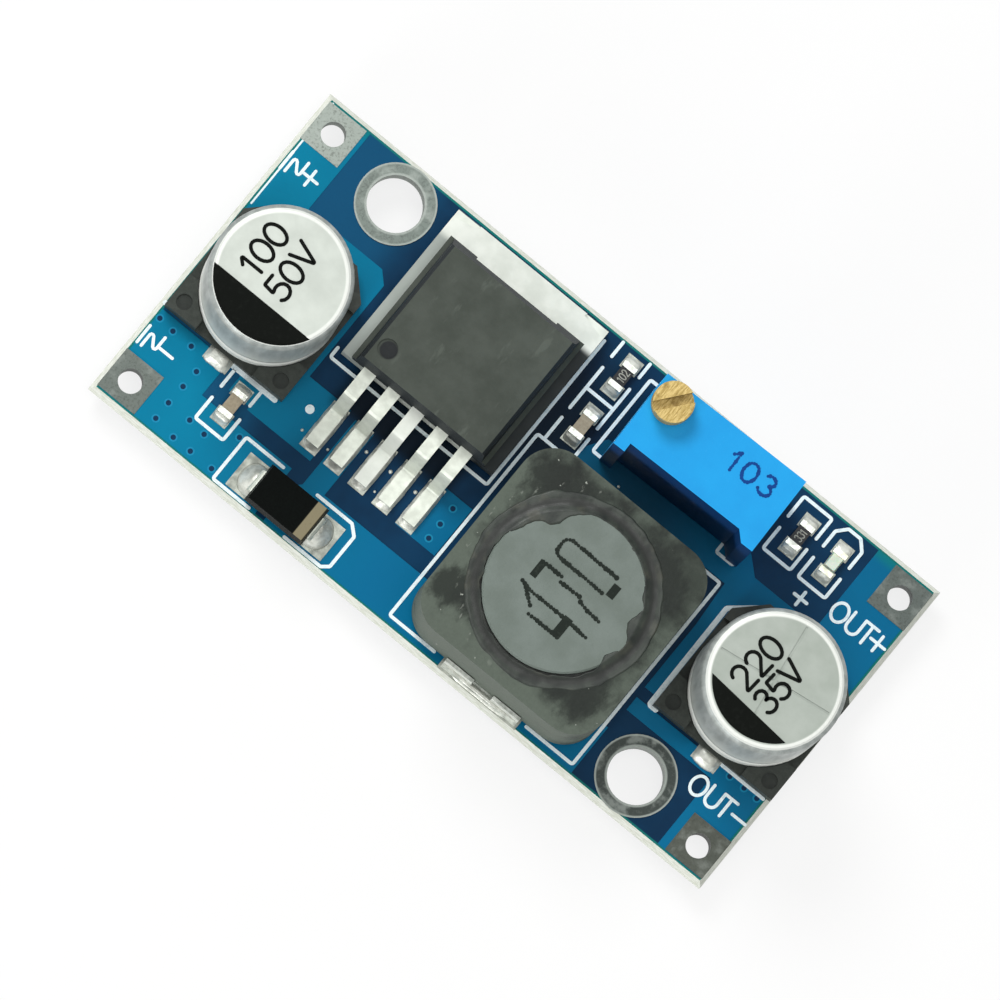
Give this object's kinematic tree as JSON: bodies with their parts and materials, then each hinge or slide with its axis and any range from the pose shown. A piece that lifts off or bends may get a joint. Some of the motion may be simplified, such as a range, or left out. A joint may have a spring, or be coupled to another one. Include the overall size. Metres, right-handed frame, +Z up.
{
  "type": "buck converter module",
  "caption": "Small step-down converter board with can capacitors, shielded inductor, tabbed regulator, diode and a turn-to-set trimmer; wires go in its corner holes.",
  "frame": {"origin": "centre of the underside of the circuit board, midway between the two mounting holes", "axes": "+X along the board from the IN end to the OUT end, +Y to the IN+ and OUT+ side, +Z up out of the component side"},
  "size_m": [0.0432, 0.021, 0.0141],
  "materials": {
    "board": "satin",
    "plating": "satin",
    "tinned_pads": "rough",
    "lands": "satin",
    "can": "satin",
    "black_moulding": "matte",
    "tinned_lead": "satin",
    "epoxy": "matte",
    "tab": "satin",
    "ferrite": "matte",
    "winding": "gloss",
    "glue": "gloss",
    "ceramic_chip": "satin",
    "chip_ends": "satin",
    "resistor_chip": "satin",
    "lamp_base": "satin",
    "lamp_lens": "gloss",
    "trimmer_case": "satin",
    "screw": "satin",
    "seal": "matte",
    "wheel": "satin",
    "wiper": "satin",
    "ceramic": "matte",
    "track": "matte",
    "potting": "satin",
    "solder": "satin"
  },
  "bodies": {
    "board": {"circuit_board": "board", "mounting_rings": "plating", "terminal_pads": "tinned_pads", "solder_lands": "lands", "input_cap_can": "can", "input_cap_base": "black_moulding", "input_cap_leads": "tinned_lead", "output_cap_can": "can", "output_cap_base": "black_moulding", "output_cap_leads": "tinned_lead", "regulator_body": "epoxy", "regulator_tab": "tab", "regulator_leads": "tinned_lead", "inductor_shield": "ferrite", "inductor_drum": "ferrite", "inductor_winding": "winding", "inductor_glue": "glue", "inductor_clips": "tinned_lead", "diode_body": "epoxy", "diode_leads": "tinned_lead", "bypass_cap": "ceramic_chip", "bypass_cap_ends": "chip_ends", "feedback_cap": "ceramic_chip", "feedback_cap_ends": "chip_ends", "divider_resistor": "resistor_chip", "divider_resistor_ends": "chip_ends", "lamp_resistor": "resistor_chip", "lamp_resistor_ends": "chip_ends", "lamp_base": "lamp_base", "lamp_lens": "lamp_lens", "lamp_ends": "chip_ends", "trimmer_case": "trimmer_case", "trimmer_seal": "seal", "trimmer_ceramic": "ceramic", "trimmer_track": "track", "trimmer_pins": "tinned_lead", "trimmer_sealant": "potting", "trimmer_joints": "solder"},
    "screw": {"trimmer_screw": "screw"},
    "wheel": {"trimmer_wheel": "wheel", "trimmer_wiper": "wiper"}
  },
  "joints": [
    {"name": "screw_turn", "type": "hinge", "parent": "board", "child": "screw", "pos_m": [0.00361, 0.00784, 0.01163], "axis": [0, 0, 1], "range_deg": [-4500, 4500]},
    {"name": "wheel_turn", "type": "hinge", "parent": "board", "child": "wheel", "pos_m": [0.00715, 0.00791, 0.00641], "axis": [-0.0209, 0.9998, 0], "range_deg": [-150, 150]}
  ],
  "couplings": [
    {"joint": "wheel_turn", "follows": "screw_turn", "ratio": -0.033333}
  ]
}
